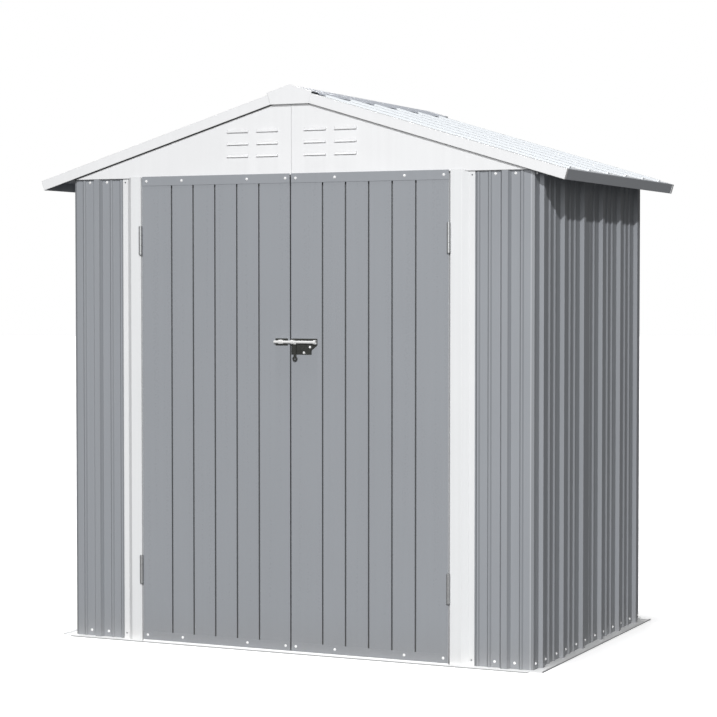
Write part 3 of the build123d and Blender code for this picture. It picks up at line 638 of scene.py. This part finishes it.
def painted_groove_shade(x, y, z):
    """1 between the face of a leaf and the floor of its grooves, darkened there as painted shade."""
    behind_face = y.clipped(GROOVE_START - DOOR_FACE, GROOVE_FULL - DOOR_FACE)
    return behind_face * (1.0 - y.clipped(EDGE_START - GROOVE_FLOOR, EDGE_FULL - GROOVE_FLOOR))


def painted_groove_top_shadow(x, y, z):
    """1 in the last of each groove under the head rail, where it runs on into the dark: a painted shadow.
    """
    return painted_groove_shade(x, y, z) * z.clipped(GROOVE_TOP - GROOVE_TOP_BLUR, GROOVE_TOP + GROOVE_TOP_BLUR)


def painted_light_on_hinge_edge(x, y, z):
    """1 on the outer edge of a leaf, painted pale as painted light against the shade of the gap."""
    return abs(x).clipped(DOOR_EDGE - EDGE_FULL, DOOR_EDGE - EDGE_START)


# The leaves carry painted shade in the grooves, a painted shadow at their tops and painted light on the
# outer edges.
leaf_grey = enamel("leaf_grey_enamel", GREY, GREY_SOIL, 0.28, marks=[
    (painted_groove_shade, GROOVE_SHADE), (painted_groove_top_shadow, GROOVE_TOP_SHADOW), (painted_light_on_hinge_edge, GAP_EDGE_PALE)])
wear(leaf_grey, "left_door_panel", "right_door_panel")
wear(grey, "left_door_rails", "right_door_rails")
for side, body in ((-1.0, "left_door"), (1.0, "right_door")):
    strip_places = rows_of(side * DOOR_SCREWS, -DOOR_STRIP, DOOR_ROWS)
    pan_screws(body + "_screws", strip_places, (0.0, -1.0, 0.0), body, screw_white)


# Hinges: zinc plated butt hinges with rolled knuckles, dulled by weather. One leaf of each is fixed to the
# jamb and the other to the edge of the door.
HINGE_GREY = (0.36, 0.365, 0.37)
SCUFF_SCALE = 260.0
hinge_plate, shader, nodes, place = finish("hinge_zinc_plate")
scuff = nodes.noise(place, SCUFF_SCALE, 4.0)
nodes.feed(shader, {
    "Base Color": nodes.tinted(HINGE_GREY, 0.7 + scuff * 0.6), "Roughness": 0.3 + scuff * 0.25,
    "Metallic": 0.6})
wear(hinge_plate, "left_hinge_frame_leaves", "left_hinge_door_leaves", "right_hinge_frame_leaves",
     "right_hinge_door_leaves")


# Slide bolt: a plate and handle on the right door and a keeper on the left, of plated steel, a rod and
# bridges, and two white screws through the plate. The plate, handle and keeper are painted dark and
# mottled and the rod and bridges painted bright: painted reflections on the plated steel.
DARK_REFLECTION, BRIGHT_REFLECTION = (0.06, 0.062, 0.058), (0.90, 0.90, 0.89)
MOTTLE_SCALE = 320.0
BRIGHT_STREAK_SCALE = (20.0, 900.0, 900.0)
PLATE_SEAT = 0.5548
BRIGHT_FROM = 0.9765
BRIGHT_DEPTH = 0.5560
BRIGHT_BLUR = 0.0003
PLATE_SCREWS = np.array([[0.069, -PLATE_SEAT, 0.9675], [0.048, -PLATE_SEAT, 0.9497]])
PLATE_HEAD, PLATE_WASHER = 0.0035, 0.004
latch, shader, nodes, place = finish("latch_steel")
x, y, z = place.apart()
mottle = nodes.noise(place, MOTTLE_SCALE, 5.0)
drawn = nodes.node("ShaderNodeMapping", {}, {"Vector": place, "Scale": BRIGHT_STREAK_SCALE})
lines = nodes.noise(drawn, 1.0, 3.0)
# Painted reflections: bright on the rod and bridges, dark and mottled on the plate, handle and keeper
# below them.
in_front = 1.0 - y.clipped(-BRIGHT_DEPTH - BRIGHT_BLUR, -BRIGHT_DEPTH + BRIGHT_BLUR)
painted_reflection_share = in_front * z.clipped(BRIGHT_FROM - BRIGHT_BLUR, BRIGHT_FROM + BRIGHT_BLUR)
dark_reflection_paint = nodes.tinted(DARK_REFLECTION, 0.3 + mottle * 1.4)
bright_reflection_paint = nodes.tinted(BRIGHT_REFLECTION, 0.85 + lines * 0.25)
nodes.feed(shader, {
    "Base Color": nodes.blended(dark_reflection_paint, bright_reflection_paint, painted_reflection_share), "Roughness": 0.24 + mottle * 0.2,
    "Metallic": 0.45 - painted_reflection_share * 0.15})
wear(latch, "latch_plate", "latch_keeper", "latch_bolt")
pan_screws("latch_plate_screws", PLATE_SCREWS, (0.0, -1.0, 0.0), "right_door", screw_white,
           PLATE_HEAD, PLATE_WASHER)
